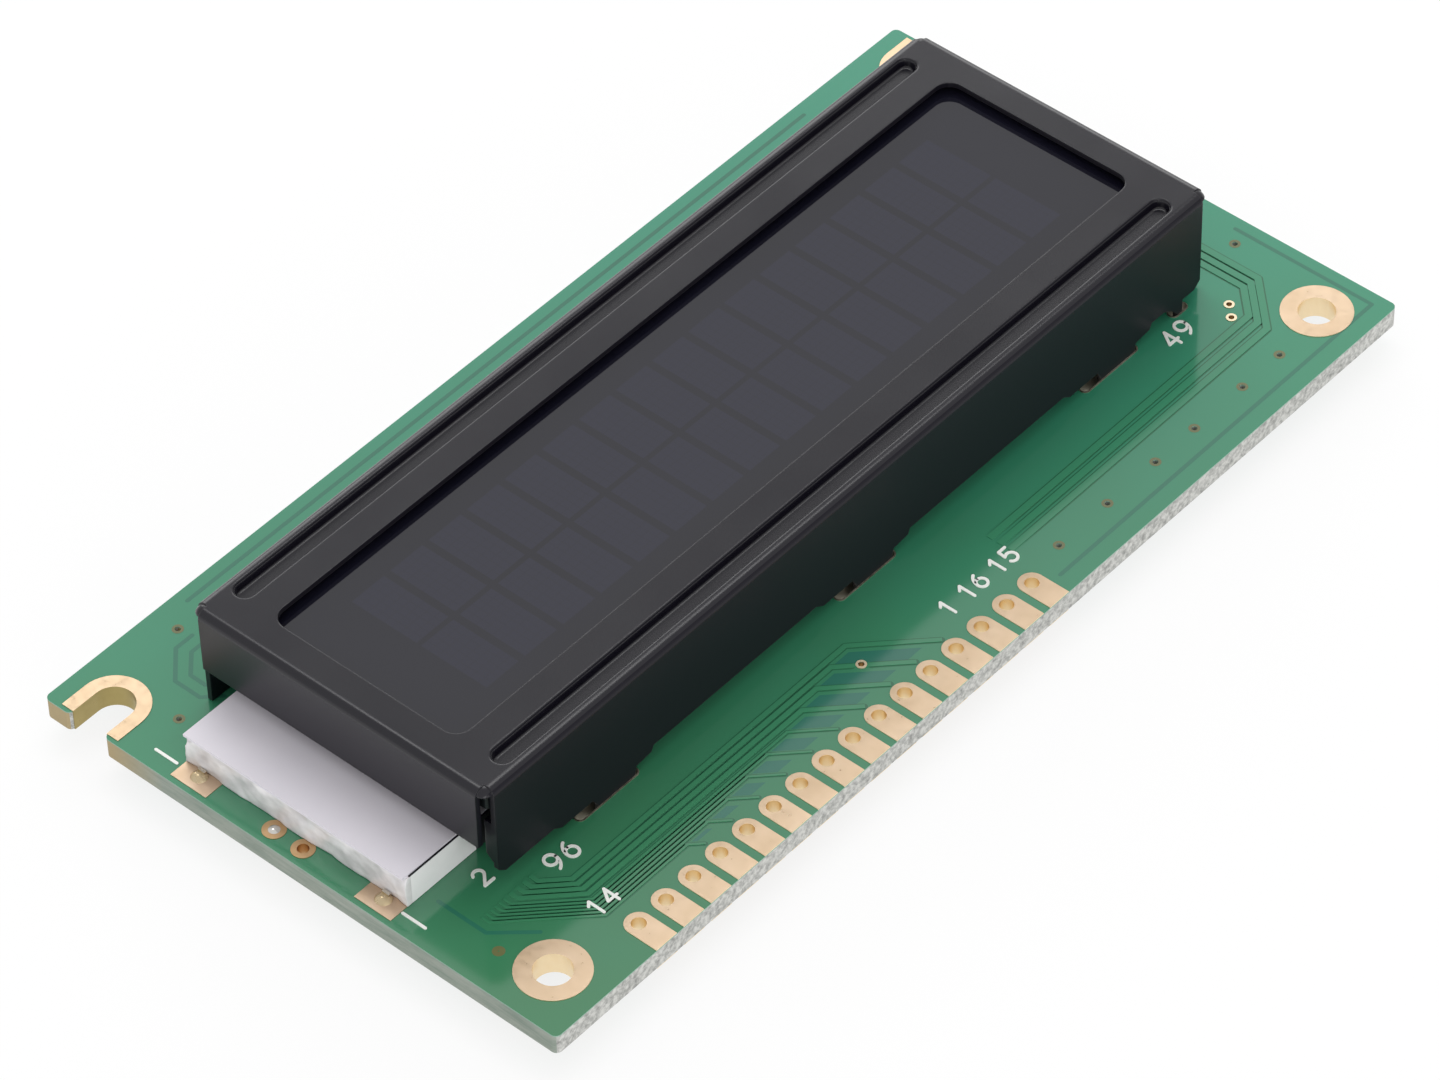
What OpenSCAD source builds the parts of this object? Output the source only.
// Character display module: a green circuit board that carries a pressed black
// bezel, a two-line liquid crystal cell on elastomer strips and an edge-lit
// backlight that sticks out at one end. Millimetres. The origin is below the
// board's centre on the plane that the module rests on, +X along the board,
// +Y away from the row of edge contacts, +Z out of the display.

/* [Circuit board] */
// Length of the board along X
board_l = 84; // [84:0.5:96]
// Width of the board along Y
board_w = 44; // [43.5:0.5:52]
// Thickness of the board
board_t = 1.6; // [1.2:0.1:2]
// Radius of the board's routed corners
board_r = 0.45; // [0.3:0.05:1.2]
// Clear height under the board for the parts on its back
under_h = 1.6; // [1.5:0.1:2.4]
// Thickness of the bare metal lands on both faces
land_t = 0.05; // [0.04:0.01:0.08]

/* [Corner fixings] */
// Distance of a fixing hole from the short edge
fix_inset_x = 3.9; // [3.6:0.1:4.4]
// Distance of a fixing hole from the long edge
fix_inset_y = 3.8; // [3.2:0.1:4]
// Clear diameter of a round fixing hole
fix_hole_d = 2.6; // [2.2:0.1:3]
// Outer diameter of the metal land round a fixing
fix_land_d = 5; // [4.4:0.1:5.4]
// Clear width of an open corner slot
slot_w = 3; // [2.6:0.1:3.4]
// Distance of the slot's round end centre from the short edge
slot_inset_x = 2.4; // [2.2:0.1:3]
// Bare strip between the slot's land and the short edge
slot_land_gap = 0.3; // [0.2:0.1:0.6]

/* [Edge contacts] */
// Number of edge contacts
contact_n = 16; // [14:1:20]
// Spacing of the edge contacts
contact_pitch = 2.54; // [2.4:0.01:2.6]
// Distance of the first contact's centre from the short edge
contact_first_x = 10.1; // [9.6:0.1:11]
// Distance of the contact holes' row from the long edge
contact_inset_y = 2.3; // [2:0.1:2.6]
// Width of one contact
contact_w = 1.9; // [1.6:0.1:2]
// Clear diameter of a contact's plated hole
contact_hole_d = 1; // [0.8:0.05:1.1]

/* [Bezel] */
// Outer length of the bezel
bezel_l = 71.2; // [70:0.1:71.6]
// Outer width of the bezel
bezel_w = 25.2; // [24.8:0.1:26]
// Height of the bezel's front over the board
bezel_h = 9.1; // [8.4:0.1:10.5]
// Thickness of the bezel's sheet
sheet_t = 0.4; // [0.3:0.05:0.5]
// Outer radius of the bezel's bends
bend_r = 0.65; // [0.55:0.05:1]
// Width of the front face beside the window's short sides
frame_x = 2.6; // [2.4:0.1:4]
// Width of the front face beside the window's long sides
frame_y = 4.6; // [4.4:0.1:5.4]
// Radius of the window's corners
window_r = 1.2; // [0.6:0.1:2]
// Width of a pressed bead at the front face
bead_w = 1.5; // [1.3:0.05:1.6]
// Depth of a pressed bead
bead_depth = 0.65; // [0.5:0.05:0.8]
// Distance of a bead's centre from the bezel's long side
bead_inset = 1.65; // [1.6:0.05:1.9]
// Height of the opening for the backlight under one end wall
end_opening_h = 4; // [3.4:0.1:5]
// Height of the relief cuts under the wall beside the contacts
relief_h = 1.35; // [1:0.05:2]
// Number of fixing tabs on each long wall
tab_n = 3; // [2:1:3]
// Spacing of the fixing tabs
tab_pitch = 25; // [22:0.5:26]
// Width of a fixing tab
tab_w = 3.4; // [2.8:0.1:3.6]
// Twist of a tab's tip under the board
tab_twist = 32; // [20:1:40]

/* [Display cell] */
// Thickness of one glass plate
glass_t = 1.1; // [0.7:0.05:1.1]
// Thickness of a polarizer
polarizer_t = 0.2; // [0.15:0.01:0.25]
// Width of the front plate's contact ledges
ledge_w = 2.6; // [2.4:0.1:2.8]
// Width of an elastomer strip
strip_w = 1.9; // [1.7:0.1:2]
// Number of display contacts under each elastomer strip
display_contact_n = 48; // [40:1:50]
// Spacing of the display contacts
display_contact_pitch = 1.3; // [1.2:0.02:1.32]

/* [Backlight] */
// Height of the backlight over the board's lands
light_h = 2.65; // [2.2:0.05:3]
// Distance of the backlight's open end from the short edge
light_inset = 1.75; // [1.7:0.05:2.2]
// Thickness of the backlight tray's side walls
tray_t = 0.8; // [0.6:0.1:1]
// Number of light-emitting chips at the open end
led_n = 3; // [2:1:4]
// Distance of a backlight terminal from the backlight's long side
terminal_inset = 1.6; // [1.6:0.1:3]

/* [Hidden] */

$fn = 48;
eps = 0.01;

// Levels, from the rest plane up
top_z = under_h + board_t;
land_z = top_z + land_t;
front_z = top_z + bezel_h;
glass_z = front_z - bead_depth - sheet_t;
ledge_z = glass_z - glass_t;

// Board edges
board_x0 = -board_l / 2;
board_x1 = board_l / 2;
board_y0 = -board_w / 2;
board_y1 = board_w / 2;

// Corner fixings
fix_x = board_x1 - fix_inset_x;
fix_y = board_y1 - fix_inset_y;
slot_x = board_x1 - slot_inset_x;
slot_mouth_r = 0.4;
plating_t = 0.05;

// Edge contacts
contact_x0 = board_x0 + contact_first_x;
contact_x1 = contact_x0 + (contact_n - 1) * contact_pitch;
contact_y = board_y0 + contact_inset_y;

// Bezel. Its centre lies a little off the board's centre.
bezel_x = -0.6;
bezel_y = 1.3;
bezel_x0 = bezel_x - bezel_l / 2;
bezel_x1 = bezel_x + bezel_l / 2;
bezel_y0 = bezel_y - bezel_w / 2;
bezel_y1 = bezel_y + bezel_w / 2;
corner_gap_x = 0.85;
corner_gap_y = 0.8;
tongue_r = 0.75;
tongue_drop = 0.04;
tongue_lap = 0.06;
tongue_h = 0.5;
return_l = 1;
return_z0 = 2.3;
return_z1 = 5.8;
return_cut = 0.5;
window_l = bezel_l - 2 * frame_x;
window_w = bezel_w - 2 * frame_y;
bead_end_inset = 0.1;
bead_l = window_l - 2 * bead_end_inset;
bead_slope = 0.15;
bead_lip_r = 0.15;
bead_floor_r = 0.2;
end_wall_gap = 0.3;
wall_cut = sheet_t + 0.2;

// Fixing tabs and the board's plated slots for them. The wall's outer face touches
// the slot's outer side, and a slot runs out further on its -X side.
tab_x = bezel_x + 1.1;
tab_x0 = tab_x - (tab_n - 1) / 2 * tab_pitch - tab_w / 2;
tab_slot_near = 1.75;
tab_slot_far = 0.45;
tab_slot_l = tab_w + tab_slot_near + tab_slot_far;
tab_slot_w = sheet_t + 0.3;
tab_slot_rim = 0.1;
tab_below = 0.1;
twist_h = 0.4;

// Lower edge of the wall beside the contacts, from the board's face up
shoulder_h = 0.9;
left_shoulder_l = 3.4;
left_relief_l = 4.1;
left_flank_l = 0.5;
right_flank_l = 0.15;
right_flank_h = 0.75;
right_shoulder_l = 1.6;
right_relief_l = 1.8;
wall_corner_l = 0.6;
wall_corner_h = 0.5;
corner_h = relief_h + wall_corner_h;

// Short stub that ends the same wall at +X
stub_inset = 2.7;
stub_w = 0.5;
stub_h = 1.2;
stub_slope_l = 0.7;
stub_slope_h = 0.15;
stub_relief_l = 1.5;
stub_edge_h = 1.1;
stub_slot_far = 0.7;
stub_slot_near = 0.35;
stub_x1 = bezel_x1 - stub_inset;

// Display cell, set between the bezel's walls
wall_y0 = bezel_y0 + sheet_t;
wall_y1 = bezel_y1 - sheet_t;
glass_side_gap = 0.2;
glass_end_gap = 0.4;
glass_r = 0.3;
glass_w = bezel_w - 2 * sheet_t - 2 * glass_side_gap;
glass_l = bezel_l - 2 * sheet_t - 2 * glass_end_gap;
rear_w = glass_w - 2 * ledge_w;
polarizer_lap_x = 0.8;
polarizer_lap_y = 1.1;
polarizer_l = window_l + 2 * polarizer_lap_x;
polarizer_w = window_w + 2 * polarizer_lap_y;
rear_polarizer_inset = 0.4;

// Elastomer strips
strip_end = 1;
strip_near_gap = 0.7;
strip_far_gap = 0.2;
strip_l = display_contact_n * display_contact_pitch + 2 * strip_end;
strip_near_y = wall_y0 + strip_near_gap;
strip_far_y = wall_y1 - strip_far_gap - strip_w;
display_land_w = 0.7;
display_land_inset = 0.35;

// Backlight, set between the elastomer strips
light_near_gap = 0.4;
light_far_gap = 0.2;
light_end_gap = 0.9;
light_x0 = board_x0 + light_inset;
light_x1 = bezel_x1 - sheet_t - light_end_gap;
light_y0 = strip_near_y + strip_w + light_near_gap;
light_y1 = strip_far_y - light_far_gap;
light_w = light_y1 - light_y0;
light_y = (light_y0 + light_y1) / 2;
terminal_y = light_w / 2 - terminal_inset;
potting_inset = 0.1;
potting_r = 0.25;
potting_cap_t = 0.5;
potting_plug_t = 1;
potting_x0 = light_x0 + potting_inset;
potting_x1 = potting_x0 + potting_cap_t;
film_t = 0.2;
film_inset = 0.12;
reflector_t = 0.15;
reflector_inset = 0.3;
film_z = land_z + light_h - film_t;
guide_x0 = light_x0 + 3;
led_w = 2.8;
led_t = 0.9;
led_h = 1.2;
pad_l = 3.1;
pad_out = 1.35;
pad_in = 0.9;
terminal_w = 0.6;
terminal_t = 0.25;
terminal_h = 0.4;
terminal_x1 = potting_x0;
terminal_x0 = terminal_x1 - terminal_t;
solder_r = 0.6;
solder_h = 0.32;
solder_out = 0.15;

// Plated ring vias, beside the backlight's open end and by the contacts
big_via_x = light_x0 - 0.5;
big_via_spread = 1.25;
big_via_d = 1.6;
big_via_hole_d = 0.8;
ring_via_d = 0.75;
ring_via_hole_d = 0.4;
big_vias = [[big_via_x, light_y + big_via_spread], [big_via_x, light_y - big_via_spread]];
lane_via_contact = 10;
lane_via_shift = 0.15;
lane_via_rise = 3.75;
corner_via_inset = 8.05;
corner_via_rise = 5.5;
corner_via_step = 0.9;
corner_via_x = board_x1 - corner_via_inset;
corner_via_y = contact_y + corner_via_rise;
ring_vias = [
    [contact_x0 + lane_via_contact * contact_pitch + lane_via_shift, contact_y + lane_via_rise],
    [corner_via_x, corner_via_y],
    [corner_via_x + corner_via_step, corner_via_y + corner_via_step]
];

// Small masked vias: a row beside the contacts and three near the corners
mask_via_d = 0.4;
via_row_inset = [32, 27, 22, 17.9, 12.8, 8.8];
via_row_y = contact_y + 0.85;
slot_via_inset = [9.8, 2.3];
edge_via_inset = [4.2, 7.9];
side_via_inset = [2.2, 12.1];
masked_vias = concat(
    [for (d = via_row_inset) if (board_x1 - d > contact_x1 + contact_w) [board_x1 - d, via_row_y]],
    [
        [board_x0 + slot_via_inset[0], board_y1 - slot_via_inset[1]],
        [board_x0 + edge_via_inset[0], board_y1 - edge_via_inset[1]],
        [board_x1 - side_via_inset[0], board_y0 + side_via_inset[1]]
    ]
);

// Covered copper tracks
track_t = 0.05;
lane_top_rise = 7.9;
lane_top_y = board_y0 + lane_top_rise;
wide_lane_n = 4;
wide_lane_pitch = 0.52;
wide_lane_w = 0.34;
fine_lane_n = 6;
fine_lane_pitch = 0.3;
fine_lane_w = 0.17;
lane_spread = 0.1;
lane_ring_gap = 3.8;
lane_turn_x = fix_land_d / 2 + lane_ring_gap - fix_x;
lane_end_y = bezel_y0 - 0.7;
lane_drop = 0.6;
lane_gap = 0.3;
contact_top_y = contact_y + contact_w / 2 + lane_gap;
power_lane_n = 3;
power_lane_w = 0.5;
power_lane_pitch = 0.85;
power_lane_rise = 7;
power_lane_y = board_y0 + power_lane_rise;
power_start_gap = 1.5;
power_start_x = contact_x1 + power_start_gap;
power_ring_gap = 0.8;
power_turn_x = fix_x - fix_land_d / 2 - power_ring_gap;
power_rise_x = 2;
power_l = 8;
power_end_y = bezel_y0 + power_l;

// Parts on the back of the board
dome_rest_gap = 0.2;
dome_h = under_h - dome_rest_gap;
dome_crown = 1.25;
controller_d = 15;
driver_d = 13;
controller_x = -17;
driver_x = 15;
dome_y = -1;
chip_l = 2;
chip_w = 1.25;
resistor_h = 0.55;
capacitor_h = 0.77;
cap_t = 0.35;
resistor_spots = [[-31, 4], [-31, 1], [-31, -2], [-1, 6], [-1, 3], [-1, -6]];
capacitor_spots = [[-1, 0], [-1, -3], [30, 1]];

// ---------------------------------------------------------------- shapes

module centred_plate(l, w, t, r) {
    linear_extrude(t) rounded_rect(l, w, r);
}

module rounded_rect(l, w, r) {
    square([l - 2 * r, w], center = true);
    square([l, w - 2 * r], center = true);
    for (sx = [-1, 1], sy = [-1, 1]) {
        translate([sx * (l / 2 - r), sy * (w / 2 - r)]) circle(r);
    }
}

module stadium(l, w) {
    square([l - w, w], center = true);
    for (s = [-1, 1]) translate([s * (l - w) / 2, 0]) circle(w / 2);
}

// A block given by two opposite corners
module block(a, b) {
    translate(a) cube(b - a);
}

// Plated hole: a land on each face joined by a barrel
module plated_hole(land_d, hole_d) {
    difference() {
        union() {
            translate([0, 0, under_h - land_t]) cylinder(d = land_d, h = land_t);
            translate([0, 0, top_z]) cylinder(d = land_d, h = land_t);
            translate([0, 0, under_h]) cylinder(d = hole_d + 2 * plating_t, h = board_t);
        }
        translate([0, 0, under_h - 1]) cylinder(d = hole_d, h = board_t + 2);
    }
}

// ---------------------------------------------------------------- circuit board

// Open corner slot, drawn at the +X end with its mouth rounded outwards
module corner_slot_outline(w) {
    mouth_w = w + 2 * slot_mouth_r;
    circle(d = w);
    translate([0, -w / 2]) square([slot_inset_x + 1, w]);
    translate([slot_inset_x - slot_mouth_r, 0]) {
        difference() {
            translate([0, -mouth_w / 2]) square([slot_mouth_r + 1, mouth_w]);
            for (s = [-1, 1]) translate([0, s * mouth_w / 2]) circle(slot_mouth_r);
        }
    }
}

module at_corner_slots() {
    for (m = [0, 1]) mirror([m, 0, 0]) translate([slot_x, fix_y, 0]) children();
}

module at_tabs() {
    for (i = [0 : tab_n - 1]) {
        translate([tab_x + (i - (tab_n - 1) / 2) * tab_pitch, 0, 0]) children();
    }
}

// A slot from x0 to x1, its outer side on the outer face of a long wall, grown by `grow`
module wall_slot(x0, x1, grow) {
    translate([(x0 + x1) / 2, 0]) stadium(x1 - x0 + 2 * grow, tab_slot_w + 2 * grow);
}

module tab_slot_outlines(grow) {
    for (y = [bezel_y0 + tab_slot_w / 2, bezel_y1 - tab_slot_w / 2]) {
        translate([0, y]) at_tabs() {
            wall_slot(-tab_w / 2 - tab_slot_near, tab_w / 2 + tab_slot_far, grow);
        }
    }
    translate([stub_x1, bezel_y0 + tab_slot_w / 2]) {
        wall_slot(-stub_w - stub_slot_near, stub_slot_far, grow);
    }
}

module board_outline() {
    difference() {
        rounded_rect(board_l, board_w, board_r);
        for (s = [-1, 1]) {
            translate([s * fix_x, -fix_y]) circle(d = fix_hole_d + 2 * plating_t);
        }
        at_corner_slots() corner_slot_outline(slot_w + 2 * plating_t);
        for (i = [0 : contact_n - 1]) {
            translate([contact_x0 + i * contact_pitch, contact_y]) {
                circle(d = contact_hole_d + 2 * plating_t);
            }
        }
        tab_slot_outlines(plating_t);
        for (p = big_vias) translate(p) circle(d = big_via_hole_d + 2 * plating_t);
        for (p = ring_vias) translate(p) circle(d = ring_via_hole_d + 2 * plating_t);
        for (p = masked_vias) translate(p) circle(d = mask_via_d);
    }
}

module circuit_board() {
    color("#2f8a5f") translate([0, 0, under_h]) linear_extrude(board_t) board_outline();
}

// One straight length of track between two points
module track_run(a, b, w) {
    d = b - a;
    translate(a) rotate(atan2(d[1], d[0])) {
        translate([-w / 5, -w / 2]) square([norm(d) + w * 2 / 5, w]);
    }
}

module track(points, w) {
    translate([0, 0, top_z]) linear_extrude(track_t) {
        for (i = [0 : len(points) - 2]) track_run(points[i], points[i + 1], w);
    }
}

// A lane from the bezel's foot round to one edge contact, turning at 45 degrees
module signal_lane(y, contact_i, w, spread) {
    x = contact_x0 + contact_i * contact_pitch;
    turn_x = lane_turn_x - spread;
    turn_y = lane_end_y - lane_drop;
    far_x = turn_x - (turn_y - y);
    track([
        [far_x, lane_end_y],
        [far_x, turn_y],
        [turn_x, y],
        [x - (y - contact_top_y), y],
        [x, contact_top_y]
    ], w);
}

module signal_lanes() {
    wide_contact = contact_n - 4;
    fine_contact = wide_contact - wide_lane_n;
    fine_top_y = lane_top_y - wide_lane_n * wide_lane_pitch;
    for (i = [0 : wide_lane_n - 1]) {
        y = lane_top_y - i * wide_lane_pitch;
        signal_lane(y, wide_contact - i, wide_lane_w, i * lane_spread);
    }
    for (i = [0 : fine_lane_n - 1]) {
        spread = (wide_lane_n + i) * lane_spread;
        y = fine_top_y - i * fine_lane_pitch;
        signal_lane(y, fine_contact - i, fine_lane_w, spread);
    }
}

module power_lanes() {
    for (i = [0 : power_lane_n - 1]) {
        y = power_lane_y - i * power_lane_pitch;
        turn_x = power_turn_x - i * lane_spread;
        far_x = turn_x + power_rise_x + i * (power_lane_pitch - lane_spread);
        track([
            [power_start_x, y],
            [turn_x, y],
            [far_x, y + far_x - turn_x],
            [far_x, power_end_y]
        ], power_lane_w);
    }
}

// The tracks keep clear of the bare rings of the small vias
module covered_tracks() {
    color("#3fa070") {
        difference() {
            union() {
                signal_lanes();
                power_lanes();
            }
            for (p = ring_vias) {
                translate([p[0], p[1], top_z - eps]) cylinder(d = ring_via_d, h = track_t + 2 * eps);
            }
        }
    }
}

module edge_contacts() {
    color("#e6c48c") {
        for (i = [0 : contact_n - 1]) {
            translate([contact_x0 + i * contact_pitch, contact_y, 0]) {
                edge_contact();
            }
        }
    }
}

// A plated hole whose lands run on to the board's long edge
module edge_contact() {
    difference() {
        union() {
            plated_hole(contact_w, contact_hole_d);
            for (z = [under_h - land_t, top_z]) {
                translate([-contact_w / 2, -contact_inset_y, z]) {
                    cube([contact_w, contact_inset_y, land_t]);
                }
            }
        }
        translate([0, 0, under_h - 1]) cylinder(d = contact_hole_d, h = board_t + 2);
    }
}

module corner_rings() {
    color("#e6c48c") {
        for (s = [-1, 1]) {
            translate([s * fix_x, -fix_y, 0]) plated_hole(fix_land_d, fix_hole_d);
        }
    }
}

module slot_land_outline(d) {
    circle(d = d);
    translate([0, -d / 2]) square([slot_inset_x - slot_land_gap, d]);
}

module slot_liners() {
    color("#e6c48c") at_corner_slots() {
        difference() {
            union() {
                for (z = [under_h - land_t, top_z]) {
                    translate([0, 0, z]) linear_extrude(land_t) slot_land_outline(fix_land_d);
                }
                translate([0, 0, under_h]) linear_extrude(board_t) {
                    intersection() {
                        corner_slot_outline(slot_w + 2 * plating_t);
                        slot_land_outline(fix_land_d);
                    }
                }
            }
            translate([0, 0, under_h - 1]) linear_extrude(board_t + 2) {
                corner_slot_outline(slot_w);
            }
        }
    }
}

// Plated slots with a narrow land round their mouths
module tab_slot_liners() {
    color("#c9a86a") {
        difference() {
            union() {
                for (z = [under_h - land_t, top_z]) {
                    translate([0, 0, z]) linear_extrude(land_t) tab_slot_outlines(tab_slot_rim);
                }
                translate([0, 0, under_h]) linear_extrude(board_t) {
                    tab_slot_outlines(plating_t);
                }
            }
            translate([0, 0, under_h - 1]) linear_extrude(board_t + 2) tab_slot_outlines(0);
        }
    }
}

module ring_vias() {
    color("#e6c48c") {
        for (p = big_vias) translate([p[0], p[1], 0]) plated_hole(big_via_d, big_via_hole_d);
        for (p = ring_vias) translate([p[0], p[1], 0]) plated_hole(ring_via_d, ring_via_hole_d);
    }
}

module display_contacts() {
    color("#d8b878") {
        for (y = [strip_near_y, strip_far_y], i = [0 : display_contact_n - 1]) {
            x = bezel_x + (i - (display_contact_n - 1) / 2) * display_contact_pitch;
            translate([x - display_land_w / 2, y + display_land_inset, top_z]) {
                cube([display_land_w, strip_w - 2 * display_land_inset, land_t]);
            }
        }
    }
}

module backlight_pads() {
    color("#e6c48c") at_terminals() {
        block([light_x0 - pad_out, -pad_l / 2, top_z], [light_x0 + pad_in, pad_l / 2, land_z]);
    }
}

module at_terminals() {
    for (s = [-1, 1]) translate([0, light_y + s * terminal_y, 0]) children();
}

// ---------------------------------------------------------------- bezel

// Section of a channel bent from sheet, open at the bottom
module bent_channel(w, h) {
    difference() {
        channel_fill(w, h, bend_r);
        translate([0, -1]) channel_fill(w - 2 * sheet_t, h - sheet_t + 1, bend_r - sheet_t);
    }
}

module channel_fill(w, h, r) {
    translate([-w / 2, 0]) square([w, h - r]);
    translate([-w / 2 + r, 0]) square([w - 2 * r, h]);
    for (s = [-1, 1]) translate([s * (w / 2 - r), h - r]) circle(r);
}

// The four walls are bent down from one plate, so every corner stays open
module bezel_blank() {
    long_l = bezel_l - 2 * corner_gap_x;
    end_w = bezel_w - 2 * corner_gap_y;
    blank_h = bezel_h - land_t;
    translate([bezel_x - long_l / 2, bezel_y, land_z]) {
        rotate([90, 0, 90]) linear_extrude(long_l) bent_channel(bezel_w, blank_h);
    }
    translate([bezel_x, bezel_y + end_w / 2, land_z]) {
        rotate([90, 0, 0]) linear_extrude(end_w) bent_channel(bezel_l, blank_h);
    }
}

// The two bends of a corner meet in a small round tongue, set a little below them.
// It is drawn at the -X -Y corner about its own centre.
module corner_tongue() {
    reach = tongue_r + tongue_drop;
    intersection() {
        difference() {
            sphere(tongue_r);
            sphere(tongue_r - sheet_t);
        }
        translate([-reach, -reach, tongue_r + tongue_drop - tongue_h]) {
            cube([corner_gap_x + tongue_lap, corner_gap_y + tongue_lap, tongue_h]);
        }
    }
}

module corner_tongues() {
    centre = tongue_r + tongue_drop;
    for (mx = [0, 1], my = [0, 1]) {
        translate([bezel_x, bezel_y, front_z - centre]) mirror([mx, 0, 0]) mirror([0, my, 0]) {
            translate([centre - bezel_l / 2, centre - bezel_w / 2, 0]) corner_tongue();
        }
    }
}

// Short flaps turned in at both ends of the wall beside the contacts
module wall_returns() {
    for (m = [0, 1]) {
        translate([bezel_x, bezel_y0, top_z]) mirror([m, 0, 0]) {
            translate([corner_gap_x - bezel_l / 2, 0, 0]) rotate([90, 0, 90]) {
                linear_extrude(sheet_t) polygon([
                    [0, return_z0],
                    [return_l - return_cut, return_z0],
                    [return_l, return_z0 + return_cut],
                    [return_l, return_z1],
                    [0, return_z1]
                ]);
            }
        }
    }
}

// Section of a bead: sloping sides, a flat floor with rounded corners, its mouth at y = 0
module bead_section(w, depth, floor_r) {
    low_w = w - 2 * bead_slope;
    floor_l = low_w - 2 * floor_r;
    polygon([
        [-low_w / 2, floor_r - depth],
        [low_w / 2, floor_r - depth],
        [w / 2, 0],
        [-w / 2, 0]
    ]);
    translate([-floor_l / 2, -depth]) square([floor_l, floor_r]);
    for (s = [-1, 1]) translate([s * floor_l / 2, floor_r - depth]) circle(floor_r);
}

// The round lips that lead from the front down into a bead
module bead_lips(w, lip_r) {
    mouth_w = w + 2 * lip_r;
    difference() {
        translate([-mouth_w / 2, -lip_r]) square([mouth_w, lip_r]);
        for (s = [-1, 1]) translate([s * mouth_w / 2, -lip_r]) circle(lip_r);
    }
}

// A long trough with round ends, made from the section given as its child
module bead_form(l, w) {
    reach = w + 1;
    translate([-(l - w) / 2, 0, 0]) rotate([90, 0, 90]) linear_extrude(l - w) children();
    for (s = [-1, 1]) {
        translate([s * (l - w) / 2, 0, 0]) rotate_extrude() {
            intersection() {
                children();
                translate([0, -reach]) square([reach, 2 * reach]);
            }
        }
    }
}

module at_beads() {
    for (y = [bezel_y0 + bead_inset, bezel_y1 - bead_inset]) {
        translate([bezel_x, y, front_z]) children();
    }
}

module bead_backs() {
    w = bead_w + 2 * sheet_t;
    at_beads() translate([0, 0, -sheet_t]) {
        bead_form(bead_l + 2 * sheet_t, w) bead_section(w, bead_depth, bead_floor_r);
    }
}

module bead_hollows() {
    at_beads() bead_form(bead_l, bead_w) {
        union() {
            bead_section(bead_w, bead_depth, bead_floor_r);
            bead_lips(bead_w, bead_lip_r);
        }
    }
}

// The lower edge of the near wall, as the region cut away below it. Each of these takes
// one side of a tab or of the wall, and two that meet are intersected.
module edge_right_of_tab(x) {
    polygon([
        [x, -1],
        [x, 0],
        [x + right_flank_l, right_flank_h],
        [x + right_shoulder_l, shoulder_h],
        [x + right_relief_l, relief_h],
        [x + bezel_l, relief_h],
        [x + bezel_l, -1]
    ]);
}

module edge_left_of_tab(x) {
    polygon([
        [x, -1],
        [x, 0],
        [x - left_flank_l, shoulder_h],
        [x - left_shoulder_l, shoulder_h],
        [x - left_relief_l, relief_h],
        [x - left_relief_l, corner_h],
        [x - bezel_l, corner_h],
        [x - bezel_l, -1]
    ]);
}

// From the wall's bevelled -X end on
module edge_right_of_corner() {
    x = bezel_x0 + corner_gap_x;
    polygon([
        [x - 1, -1],
        [x - 1, corner_h],
        [x, corner_h],
        [x + wall_corner_l, relief_h],
        [x + bezel_l, relief_h],
        [x + bezel_l, -1]
    ]);
}

module edge_left_of_stub() {
    x = stub_x1 - stub_w;
    polygon([
        [x, -1],
        [x, stub_slope_h],
        [x - stub_slope_l, shoulder_h],
        [x - stub_relief_l, relief_h],
        [x - bezel_l, relief_h],
        [x - bezel_l, -1]
    ]);
}

// From the stub to the wall's bevelled +X end
module edge_right_of_stub() {
    x = bezel_x1 - corner_gap_x;
    polygon([
        [stub_x1, -1],
        [stub_x1, stub_edge_h],
        [x - wall_corner_l, stub_edge_h],
        [x, stub_edge_h + wall_corner_h],
        [x + 1, stub_edge_h + wall_corner_h],
        [x + 1, -1]
    ]);
}

module near_wall_reliefs() {
    last_x1 = tab_x0 + (tab_n - 1) * tab_pitch + tab_w;
    translate([0, bezel_y0 + wall_cut, top_z]) rotate([90, 0, 0]) linear_extrude(2 * wall_cut) {
        intersection() {
            edge_right_of_corner();
            edge_left_of_tab(tab_x0);
        }
        for (i = [1 : 1 : tab_n - 1]) {
            intersection() {
                edge_right_of_tab(tab_x0 + (i - 1) * tab_pitch + tab_w);
                edge_left_of_tab(tab_x0 + i * tab_pitch);
            }
        }
        intersection() {
            edge_right_of_tab(last_x1);
            edge_left_of_stub();
        }
        edge_right_of_stub();
    }
}

// A tab runs down through its slot, and its tip is twisted under the board
module fixing_tab() {
    turn_z = under_h - tab_below;
    translate([-tab_w / 2, -sheet_t / 2, turn_z]) {
        cube([tab_w, sheet_t, land_z - turn_z + eps]);
    }
    translate([0, 0, turn_z - twist_h]) {
        mirror([0, 0, 1]) rotate(-tab_twist) translate([-tab_w / 2, -sheet_t / 2, 0]) {
            cube([tab_w, sheet_t, turn_z - twist_h]);
        }
        rotate(-tab_twist) linear_extrude(twist_h, twist = -tab_twist, slices = 5, segments = 4) {
            square([tab_w, sheet_t], center = true);
        }
    }
}

module stub() {
    block([stub_x1 - stub_w, bezel_y0, top_z - stub_h],
          [stub_x1, bezel_y0 + sheet_t, top_z + stub_edge_h]);
}

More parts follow.
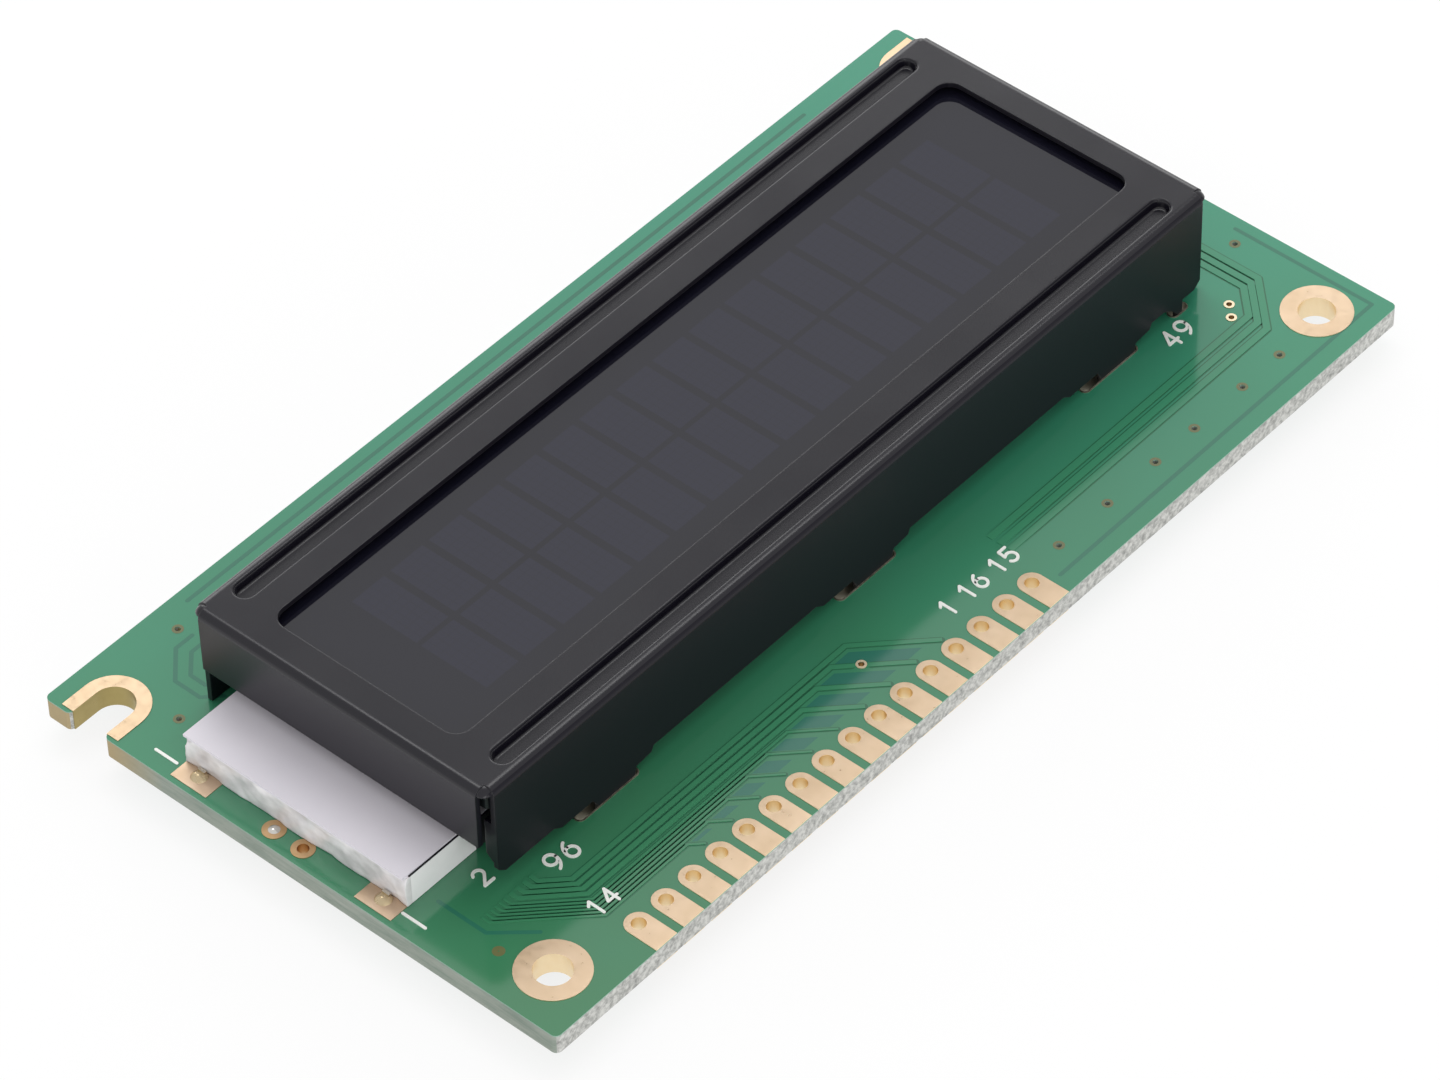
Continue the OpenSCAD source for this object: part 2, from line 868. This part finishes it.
module bezel() {
    color("#403e40") {
        difference() {
            union() {
                difference() {
                    bezel_blank();
                    block([bezel_x0 - 1, bezel_y0, top_z - 1],
                          [bezel_x0 + wall_cut, bezel_y1, top_z + end_opening_h]);
                    block([bezel_x1 - wall_cut, bezel_y0, top_z - 1],
                          [bezel_x1 + 1, bezel_y1, top_z + end_wall_gap]);
                    near_wall_reliefs();
                    translate([bezel_x, bezel_y, front_z - 2]) {
                        centred_plate(window_l, window_w, 3, window_r);
                    }
                }
                corner_tongues();
                wall_returns();
                bead_backs();
            }
            bead_hollows();
        }
        for (y = [bezel_y0 + sheet_t / 2, bezel_y1 - sheet_t / 2]) {
            translate([0, y, 0]) at_tabs() fixing_tab();
        }
        stub();
    }
}

// ---------------------------------------------------------------- display cell

module cell_plate(l, w, z, t) {
    translate([bezel_x, bezel_y, z]) centred_plate(l, w, t, glass_r);
}

module front_polarizer() {
    color("#4b4d58") cell_plate(polarizer_l, polarizer_w, glass_z, polarizer_t);
}

module front_glass() {
    color("#b9c4c6") cell_plate(glass_l, glass_w, ledge_z, glass_t);
}

module rear_glass() {
    color("#b9c4c6") cell_plate(glass_l, rear_w, ledge_z - glass_t, glass_t);
}

module rear_polarizer() {
    color("#3c3e48") {
        w = rear_w - 2 * rear_polarizer_inset;
        cell_plate(polarizer_l, w, ledge_z - glass_t - polarizer_t, polarizer_t);
    }
}

module elastomer_strip(y) {
    color("#c9a7a0") {
        block([bezel_x - strip_l / 2, y, land_z], [bezel_x + strip_l / 2, y + strip_w, ledge_z]);
    }
}

module elastomer_strip_near() { elastomer_strip(strip_near_y); }

module elastomer_strip_far() { elastomer_strip(strip_far_y); }

// ---------------------------------------------------------------- backlight

// Two side walls joined at the closed end. Resin caps their ends and fills the open end.
module backlight_tray() {
    color("#eceef0") {
        difference() {
            block([potting_x1, light_y0, land_z], [light_x1, light_y1, film_z]);
            block([light_x0 - 1, light_y0 + tray_t, land_z - 1],
                  [light_x1 - tray_t, light_y1 - tray_t, film_z + 1]);
        }
    }
}

module reflector_sheet() {
    color("#f4f4f2") {
        block([potting_x1 + reflector_inset, light_y0 + tray_t, land_z],
              [light_x1 - tray_t, light_y1 - tray_t, land_z + reflector_t]);
    }
}

module light_guide() {
    color("#dfe6e8") {
        block([guide_x0, light_y0 + tray_t, land_z + reflector_t],
              [light_x1 - tray_t, light_y1 - tray_t, film_z]);
    }
}

module diffuser_film() {
    color("#e4e2ea") {
        block([light_x0, light_y0 + film_inset, film_z],
              [light_x1, light_y1 - film_inset, film_z + film_t]);
    }
}

module led_chips() {
    color("#f2e9a8") {
        for (i = [0 : led_n - 1]) {
            y = light_y + (i - (led_n - 1) / 2) * light_w / (led_n + 1);
            translate([guide_x0 - led_t, y - led_w / 2, land_z + reflector_t]) {
                cube([led_t, led_w, led_h]);
            }
        }
    }
}

// Resin poured into the open end, with a rounded upper outer edge over its whole width
module end_potting() {
    h = film_z - land_z;
    color("#d9d6d4") {
        translate([potting_x0, light_y1, land_z]) rotate([90, 0, 0]) linear_extrude(light_w) {
            translate([potting_r, 0]) square([potting_cap_t - potting_r, h]);
            square([potting_cap_t, h - potting_r]);
            translate([potting_r, h - potting_r]) circle(potting_r);
        }
        block([potting_x1 - eps, light_y0 + tray_t, land_z + reflector_t],
              [potting_x1 + potting_plug_t, light_y1 - tray_t, film_z]);
    }
}

// Leads that come down over the potting's face onto their pads
module backlight_terminals() {
    color("#c8c2b4") at_terminals() terminal_blade();
}

module terminal_blade() {
    block([terminal_x0, -terminal_w / 2, land_z],
          [terminal_x1, terminal_w / 2, land_z + terminal_h]);
}

module terminal_solder() {
    color("#c9a45e") at_terminals() {
        difference() {
            translate([terminal_x0 - solder_out, 0, land_z]) {
                solder_mound(solder_r, solder_h);
            }
            terminal_blade();
            translate([terminal_x1, -solder_r, 0]) cube([2 * solder_r, 2 * solder_r, front_z]);
        }
    }
}

// A low round mound with its flat side down
module solder_mound(r, h) {
    ball_r = (r * r + h * h) / (2 * h);
    intersection() {
        translate([0, 0, h - ball_r]) sphere(ball_r, $fn = 160);
        translate([-r - 1, -r - 1, 0]) cube([2 * r + 2, 2 * r + 2, h + 1]);
    }
}

module via_solder() {
    color("#d8d6d0") {
        translate([big_vias[0][0], big_vias[0][1], 0]) {
            translate([0, 0, under_h]) cylinder(d = big_via_hole_d, h = board_t + land_t);
            translate([0, 0, land_z]) solder_mound(big_via_hole_d / 2, 0.15);
        }
    }
}

// ---------------------------------------------------------------- back of the board

// Resin dome over a bare chip, flattened at its top
module resin_dome(d) {
    translate([0, 0, under_h]) mirror([0, 0, 1]) {
        intersection() {
            solder_mound(d / 2, dome_h * dome_crown);
            translate([-d, -d, 0]) cube([2 * d, 2 * d, dome_h]);
        }
    }
}

module controller_dome() {
    color("#1d1c1e") translate([controller_x, dome_y, 0]) resin_dome(controller_d);
}

module driver_dome() {
    color("#1d1c1e") translate([driver_x, dome_y, 0]) resin_dome(driver_d);
}

module chip_body(h) {
    block([-chip_l / 2 + cap_t, -chip_w / 2, under_h - h],
          [chip_l / 2 - cap_t, chip_w / 2, under_h]);
}

module chip_resistors() {
    color("#232325") for (p = resistor_spots) translate([p[0], p[1], 0]) chip_body(resistor_h);
}

module chip_capacitors() {
    color("#b08a5c") for (p = capacitor_spots) translate([p[0], p[1], 0]) chip_body(capacitor_h);
}

module end_cap_pair(h) {
    for (s = [-1, 1]) {
        translate([s * (chip_l - cap_t) / 2, 0, 0]) {
            block([-cap_t / 2, -chip_w / 2, under_h - h], [cap_t / 2, chip_w / 2, under_h]);
        }
    }
}

module chip_end_caps() {
    color("#c9cacc") {
        for (p = resistor_spots) translate([p[0], p[1], 0]) end_cap_pair(resistor_h);
        for (p = capacitor_spots) translate([p[0], p[1], 0]) end_cap_pair(capacitor_h);
    }
}

circuit_board();
covered_tracks();
edge_contacts();
corner_rings();
slot_liners();
tab_slot_liners();
ring_vias();
display_contacts();
backlight_pads();
bezel();
front_polarizer();
front_glass();
rear_glass();
rear_polarizer();
elastomer_strip_near();
elastomer_strip_far();
backlight_tray();
reflector_sheet();
light_guide();
diffuser_film();
led_chips();
end_potting();
backlight_terminals();
terminal_solder();
via_solder();
controller_dome();
driver_dome();
chip_resistors();
chip_capacitors();
chip_end_caps();
